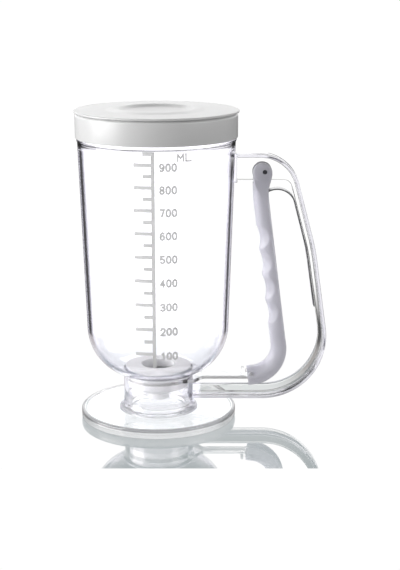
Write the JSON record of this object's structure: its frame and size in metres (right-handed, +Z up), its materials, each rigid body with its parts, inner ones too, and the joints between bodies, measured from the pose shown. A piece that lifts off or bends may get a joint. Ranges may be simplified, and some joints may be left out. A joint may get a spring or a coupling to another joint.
{
  "type": "pancake batter dispenser",
  "caption": "Clear measuring jug with a squeeze lever in its handle, which slides a gate open under the bowl's valve hole, a lift-off lid, and a drip stand.",
  "frame": {"origin": "on the jug's axis, in the plane of the stand's underside", "axes": "+Z up along the jug's axis, +X from the axis towards the handle, the measuring scale faces -Y"},
  "size_m": [0.165, 0.1066, 0.2062],
  "materials": {
    "clear_plastic": "clear polished moulding",
    "white_plastic": "glossy moulding",
    "valve_plastic": "satin moulding",
    "lever_plastic": "frosted translucent moulding, coloured as an opaque one",
    "silicone": "matt translucent silicone",
    "spring_steel": "rolled spring steel",
    "scale_print": "white screen print"
  },
  "bodies": {
    "stand": {"stand": "clear_plastic"},
    "jug": {"jug": "clear_plastic", "bowl": "clear_plastic", "neck": "clear_plastic", "rim_band": "white_plastic", "seat_gasket": "silicone", "valve_seat": "valve_plastic", "gate_seal": "silicone", "nozzle": "valve_plastic", "handle_frame": "clear_plastic", "leaf_spring": "spring_steel", "measuring_scale": "scale_print"},
    "lid": {"lid": "white_plastic", "lid_seal": "silicone"},
    "lever": {"lever": "lever_plastic", "hinge_pin": "spring_steel", "link_pin": "spring_steel"},
    "gate": {"gate_slide": "clear_plastic"}
  },
  "joints": [
    {"name": "jug_lift", "type": "slide", "parent": "stand", "child": "jug", "axis": [0, 0, 1], "range_m": [0, 0.05]},
    {"name": "lid_lift", "type": "slide", "parent": "jug", "child": "lid", "axis": [0, 0, 1], "range_m": [0, 0.03]},
    {"name": "lever_squeeze", "type": "hinge", "parent": "jug", "child": "lever", "pos_m": [0.0697, 0, 0.1654], "axis": [0, -1, 0], "range_deg": [0, 9.5], "stiffness_Nm_per_rad": 1.5, "springref_deg": -8.59, "deforming": ["leaf_spring"]},
    {"name": "gate_slide", "type": "slide", "parent": "jug", "child": "gate", "axis": [1, 0, 0], "range_m": [0, 0.0228]}
  ],
  "couplings": [
    {"joint": "gate_slide", "follows": "lever_squeeze", "m_per_rad": 0.13605}
  ]
}
